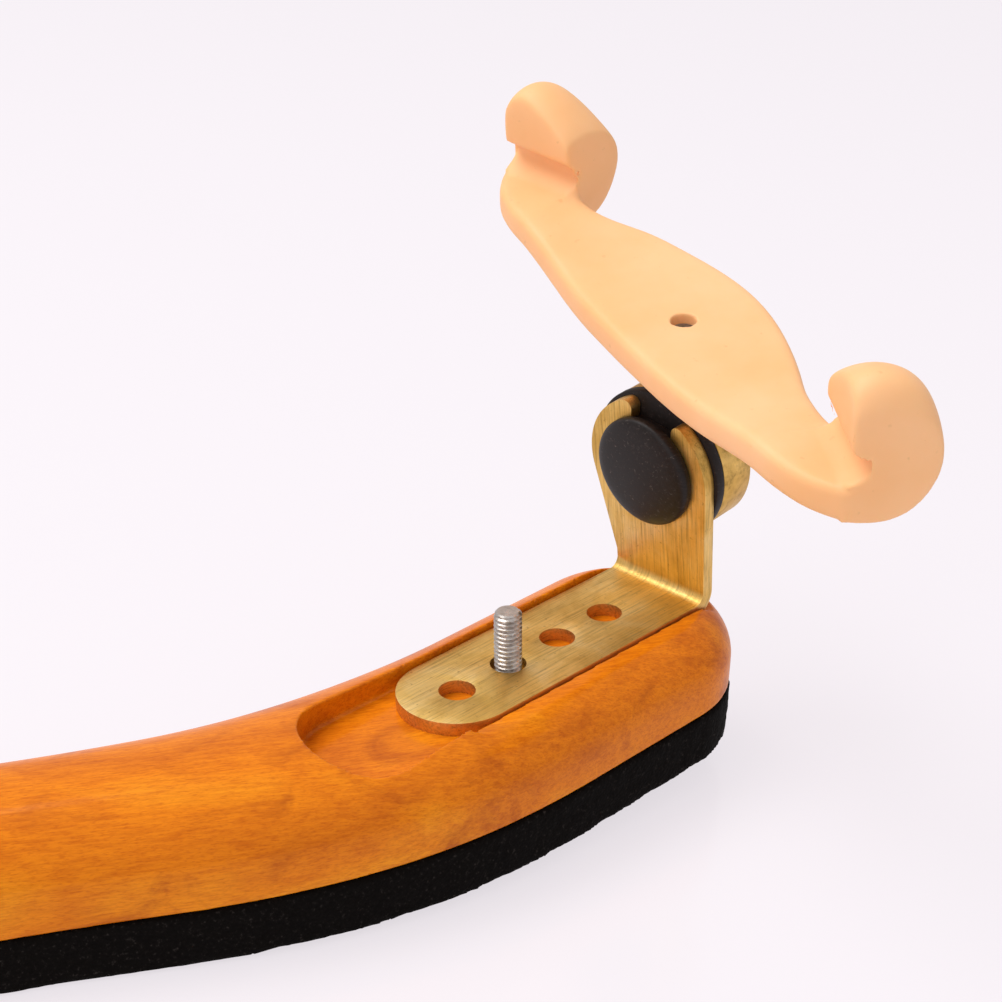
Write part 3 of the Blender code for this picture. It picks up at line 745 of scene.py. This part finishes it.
def wood_material():
    m = Nodes("maple_varnish")
    clouds = m.noise(m.coords((1.0, 2.6, 2.6)), 26.0, 4.0, 0.55, 0.8)
    base = m.ramp(clouds, "Fac", [(0.30, (0.64, 0.155, 0.003)), (0.50, (0.80, 0.226, 0.004)),
                                  (0.68, (0.88, 0.305, 0.008))]).outputs["Color"]
    swirl = m.noise(m.coords((1.0, 1.7, 1.7), rotation=(0, 0, 0.35)), 48.0, 4.0, 0.6, 1.8)
    marks = m.ramp(swirl, "Fac", [(0.50, grey(0)), (0.68, grey(0.62))])
    base = m.blend(base, (0.44, 0.085, 0.002), marks.outputs["Color"])
    fibre = m.noise(m.coords((1.0, 9.0, 9.0)), 240.0, 4.0, 0.65)
    lines = m.ramp(fibre, "Fac", [(0.36, grey(0.80)), (0.60, grey(0.0))])
    base = m.blend(base, (0.80, 0.66, 0.50), lines.outputs["Color"], "MULTIPLY")
    fleck = m.noise(m.coords((1.0, 5.0, 5.0)), 1100.0, 2.0, 0.5)
    flecks = m.ramp(fleck, "Fac", [(0.50, grey(0.0)), (0.66, grey(0.65))])
    base = m.blend(base, (0.80, 0.64, 0.45), flecks.outputs["Color"], "MULTIPLY")
    m.tree.links.new(base, m.bsdf.inputs["Base Color"])
    grain = m.bump(fibre, "Fac", 0.10, 0.0002)
    ripple = m.bump(m.noise(m.coords((1, 1, 1)), 220.0, 2.0, 0.5), "Fac", 0.04, 0.0003)
    m.link(grain, "Normal", m.bsdf, "Normal")
    m.link(ripple, "Normal", m.bsdf, "Coat Normal")
    m.set(Roughness=0.45, Coat_Weight=0.30, Coat_Roughness=0.14, Coat_IOR=1.45,
          Specular_IOR_Level=0.04)
    return m.mat


def foam_material():
    m = Nodes("foam_cells")
    cells = m.add("ShaderNodeTexVoronoi", Scale=2200.0)
    m.link(m.coords((1, 1, 1)), "Vector", cells, "Vector")
    dust = m.noise(m.coords((1, 1, 1)), 1700.0, 3.0, 0.7)
    colour = m.ramp(dust, "Fac", [(0.42, (0.0024, 0.0016, 0.0012)), (0.60, (0.004, 0.0028, 0.0022)),
                                  (0.74, (0.030, 0.025, 0.022))])
    m.link(colour, "Color", m.bsdf, "Base Color")
    pores = m.bump(cells, "Distance", 0.5, 0.0002)
    lumps = m.bump(m.noise(m.coords((1, 1, 1)), 420.0, 3.0), "Fac", 0.3, 0.0003, after=pores)
    m.link(lumps, "Normal", m.bsdf, "Normal")
    m.set(Roughness=0.92, Specular_IOR_Level=0.08)
    return m.mat


def brass_material(name, source, along=(0.10, 2.6, 2.6), scale=1.0):
    """Brushed, lightly tarnished brass. Its figure follows the bracket's unbent shape, in mm, where
    source is "flat"; otherwise it follows the object, in metres, with a scale to match."""
    m = Nodes(name)
    vec = m.attribute("flat", along) if source == "flat" else m.coords(along)
    lines = m.noise(vec, scale, 5.0, 0.7)
    plain = m.attribute("flat", (1, 1, 1)) if source == "flat" else m.coords((1, 1, 1))
    patch = m.noise(plain, 0.13 * scale, 4.0, 0.6, 0.4)
    spots = m.noise(plain, 1.3 * scale, 3.0, 0.6)
    colour = m.ramp(patch, "Fac", [(0.30, (0.64, 0.375, 0.080)), (0.52, (0.82, 0.525, 0.155)),
                                   (0.72, (0.90, 0.640, 0.270))])
    shade = m.ramp(lines, "Fac", [(0.32, grey(0.42)), (0.48, grey(0.82)), (0.64, grey(1.0))])
    worn = m.blend(colour.outputs["Color"], shade.outputs["Color"], 0.8, "MULTIPLY")
    spot_mask = m.ramp(spots, "Fac", [(0.62, grey(0.0)), (0.74, grey(0.6))])
    final = m.blend(worn, (0.24, 0.125, 0.035), spot_mask.outputs["Color"])
    m.tree.links.new(final, m.bsdf.inputs["Base Color"])
    rough = m.ramp(lines, "Fac", [(0.3, grey(0.52)), (0.7, grey(0.38))])
    m.link(rough, "Color", m.bsdf, "Roughness")
    dents = m.bump(spots, "Fac", 0.25, 0.00006)
    m.link(m.bump(lines, "Fac", 0.5, 0.00006, after=dents), "Normal", m.bsdf, "Normal")
    m.set(Metallic=1.0)
    return m.mat


def steel_material(name):
    m = Nodes(name)
    wear = m.noise(m.coords((1, 1, 1)), 900.0, 4.0, 0.6)
    colour = m.ramp(wear, "Fac", [(0.35, (0.42, 0.37, 0.33)), (0.65, (0.66, 0.62, 0.58))])
    m.link(colour, "Color", m.bsdf, "Base Color")
    rough = m.ramp(wear, "Fac", [(0.3, grey(0.42)), (0.7, grey(0.24))])
    m.link(rough, "Color", m.bsdf, "Roughness")
    m.set(Metallic=1.0)
    return m.mat


def black_material(name, rough=0.36):
    m = Nodes(name)
    fine = m.noise(m.coords((1, 1, 1)), 1500.0, 3.0, 0.6)
    scuffs = m.noise(m.coords((1.0, 5.0, 5.0), rotation=(0.3, 0.5, 0.7)), 420.0, 5.0, 0.75, 0.6)
    colour = m.ramp(scuffs, "Fac", [(0.42, (0.008, 0.0050, 0.0042)), (0.60, (0.015, 0.010, 0.009)),
                                    (0.70, (0.090, 0.075, 0.066))])
    m.link(colour, "Color", m.bsdf, "Base Color")
    value = m.ramp(scuffs, "Fac", [(0.35, grey(rough)), (0.75, grey(rough + 0.22))])
    m.link(value, "Color", m.bsdf, "Roughness")
    m.link(m.bump(fine, "Fac", 0.12, 0.0001), "Normal", m.bsdf, "Normal")
    m.set(Specular_IOR_Level=0.24)
    return m.mat


def rubber_material():
    m = Nodes("rubber_cream")
    soft = m.noise(m.coords((1, 1, 1)), 45.0, 4.0, 0.55)
    colour = m.ramp(soft, "Fac", [(0.30, (0.90, 0.465, 0.190)), (0.62, (0.95, 0.530, 0.255))])
    specks = m.noise(m.coords((1, 1, 1)), 620.0, 2.0, 0.5)
    speck_mask = m.ramp(specks, "Fac", [(0.70, grey(0.0)), (0.78, grey(0.4))])
    final = m.blend(colour.outputs["Color"], (0.60, 0.33, 0.13), speck_mask.outputs["Color"])
    m.tree.links.new(final, m.bsdf.inputs["Base Color"])
    fine = m.noise(m.coords((1, 1, 1)), 1100.0, 3.0, 0.6)
    m.link(m.bump(fine, "Fac", 0.08, 0.0001), "Normal", m.bsdf, "Normal")
    m.set(Roughness=0.5, Subsurface_Weight=0.12, Subsurface_Scale=0.003,
          Subsurface_Radius=(1.0, 0.5, 0.25), Specular_IOR_Level=0.35)
    return m.mat


# ---- placing -------------------------------------------------------------------------------------
def put(name, mesh, where, mat, body, nodes, sharp=35.0):
    """Place a mesh as one visible piece that rides on a body and stands for CAD nodes."""
    mesh.transform(Matrix.Scale(MM, 4) @ where)
    mesh.name = name
    mesh.materials.clear()
    mesh.materials.append(mat)
    mesh.polygons.foreach_set("material_index", [0] * len(mesh.polygons))
    mesh.shade_smooth()
    if sharp:
        mesh.set_sharp_from_angle(angle=math.radians(sharp))
    obj = bpy.data.objects.new(name, mesh)
    bpy.context.scene.collection.objects.link(obj)
    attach(obj, body)
    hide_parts(*nodes)
    return obj


def build():
    world = Matrix.Identity(4)
    wood, foam, rubber = wood_material(), foam_material(), rubber_material()
    plate = brass_material("brass_bracket", "flat")
    turned = brass_material("brass_turned", "object", (1, 1, 1), 500.0)
    steel = steel_material("steel_plain")
    black = black_material("plastic_black")
    black_soft = black_material("plastic_black_flange", 0.5)

    put("maple_bar", wood_mesh(), world, wood, "bar", ["wood_bar"], sharp=0)
    pad = put("foam_layer", foam_mesh(), world, foam, "bar", ["foam_pad"], sharp=0)

    shapes = {"stud": stud_mesh(), "bracket": bracket_mesh(), "cap": cap_mesh(),
              "flange": flange_mesh(), "barrel": barrel_mesh(), "screw": pivot_screw_mesh(),
              "spring": spring_washer_mesh(), "core": core_mesh(), "fork": fork_mesh(),
              "stem": threaded(STEM_R, STEM_PITCH, 5.6, STEM_TOP, 0.4),
              "insert": lathe([(STUD_R + CLEAR, -7.6), (3.2, -7.6), (3.2, -PLATE_T - 0.1),
                               (STUD_R + CLEAR, -PLATE_T - 0.1)], 64)}
    for end in "ab":
        e = end_frame(end)
        p, s, f = e @ pivot_frame(), e @ stem_frame(), e @ fork_frame()
        held = "bracket_a" if end == "a" else "bar"
        pieces = [
            ("stud", "threaded_stud", e, steel, "bar", "stud", "steel"),
            ("insert", "insert", e, turned, "bar", "wood_insert", "brass"),
            ("bracket", "l_bracket", e, plate, held, "bracket", "brass"),
            ("cap", "disc_cap", p, black, held, "pivot_cap", "black_plastic"),
            ("flange", "flange", p, black_soft, held, "pivot_flange", "black_plastic"),
            ("barrel", "barrel", p, turned, "barrel_" + end, "pivot_barrel", "brass"),
            ("screw", "shoulder_screw", p, steel, held, "pivot_screw", "steel"),
            ("spring", "spring_ring", p, steel, held, "spring_washer", "steel"),
            ("stem", "stem", s, steel, "stem_" + end, "fork_stem", "steel"),
            ("core", "core_plate", f, steel, "fork_" + end, "fork_core", "steel"),
            ("fork", "claw_fork", f, rubber, "fork_" + end, "fork", "cream_rubber"),
        ]
        for shape, name, where, mat, body, node, slot_name in pieces:
            put(f"{name}_{end}", shapes[shape].copy(), where, mat, body, [f"{node}_{end}"],
                sharp=0 if shape == "fork" else 35.0)

    e = end_frame("b")
    put("flat_washer", lathe([(2.15, 0.03), (4.3, 0.03), (4.4, 0.13), (4.4, 0.7), (4.3, 0.8),
                              (2.15, 0.8)], 64), e, turned, "bar", ["nut_washer_b"])
    put("nut_core", lathe([(STUD_R + CLEAR, 0.86), (3.0, 0.86), (3.0, 6.2), (STUD_R + 0.3, 6.2),
                           (STUD_R + CLEAR, 6.0)], 64), e, turned, "nut_bush_b",
        ["nut_bush_b"])
    put("knurled_nut", nut_mesh(), e, black, "thumb_nut_b", ["thumb_nut_b"])


# ---- floor, light, camera ------------------------------------------------------------------------
def white_floor():
    """A large floor that glows a little, so that it stays white, with a soft mirror image in it."""
    size = 4.0
    mesh = bpy.data.meshes.new("floor")
    mesh.from_pydata([(-size, -size, 0), (size, -size, 0), (size, size, 0), (-size, size, 0)], [],
                     [(0, 1, 2, 3)])
    floor = bpy.data.objects.new("floor", mesh)
    floor.location.z = -0.00005
    bpy.context.scene.collection.objects.link(floor)
    m = Nodes("floor_white")
    m.set(Base_Color=(0.88, 0.85, 0.875, 1.0), Roughness=0.16, Specular_IOR_Level=1.0)
    glow = m.add("ShaderNodeEmission", Color=(0.975, 0.918, 0.965, 1.0), Strength=0.98)
    both = m.add("ShaderNodeMixShader", Fac=0.75)
    m.tree.links.new(m.bsdf.outputs[0], both.inputs[1])
    m.tree.links.new(glow.outputs[0], both.inputs[2])
    m.tree.links.new(both.outputs[0], m.tree.nodes["Material Output"].inputs["Surface"])
    mesh.materials.append(m.mat)


def pale_world():
    """Even light from all round, brighter from above."""
    world = bpy.data.worlds.new("studio")
    bpy.context.scene.world = world
    world.use_nodes = True
    tree = world.node_tree
    coords = tree.nodes.new("ShaderNodeTexCoord")
    split = tree.nodes.new("ShaderNodeSeparateXYZ")
    ramp = tree.nodes.new("ShaderNodeValToRGB")
    tree.links.new(coords.outputs["Generated"], split.inputs[0])
    tree.links.new(split.outputs["Z"], ramp.inputs["Fac"])
    low, high = ramp.color_ramp.elements
    low.position, low.color = 0.0, (0.80, 0.78, 0.80, 1.0)
    high.position, high.color = 0.9, (1.0, 0.985, 1.0, 1.0)
    tree.links.new(ramp.outputs["Color"], tree.nodes["Background"].inputs["Color"])
    tree.nodes["Background"].inputs["Strength"].default_value = 0.72


def area_light(name, location, target, size_x, size_y, power):
    data = bpy.data.lights.new(name, "AREA")
    data.shape, data.size, data.size_y = "RECTANGLE", size_x, size_y
    data.energy = power
    obj = bpy.data.objects.new(name, data)
    obj.location = location
    direction = Vector(target) - Vector(location)
    obj.rotation_mode = "QUATERNION"
    obj.rotation_quaternion = direction.to_track_quat("-Z", "Y")
    bpy.context.scene.collection.objects.link(obj)


def camera():
    data = bpy.data.cameras.new("camera")
    data.sensor_width, data.lens = 36.0, 78.1
    data.clip_start, data.clip_end = 0.01, 20.0
    obj = bpy.data.objects.new("camera", data)
    bpy.context.scene.collection.objects.link(obj)
    place = Vector((5.453, -239.930, 169.683)) * MM
    forward = Vector((0.25316, 0.87528, -0.41205)).normalized()
    right = Vector((0.96472, -0.26023, 0.03994)).normalized()
    up = right.cross(forward).normalized()
    obj.matrix_world = basis(place, right, up, -forward)
    bpy.context.scene.camera = obj


def studio():
    white_floor()
    pale_world()
    area_light("key_soft", (-0.35, 0.25, 0.95), (0.06, 0.0, 0.02), 0.8, 0.6, 7.4)
    area_light("fill_left", (-0.60, -0.50, 0.40), (0.08, 0.0, 0.03), 0.5, 0.5, 1.3)
    camera()
    view = bpy.context.scene.view_settings
    view.view_transform, view.look = "Standard", "None"


build()
studio()
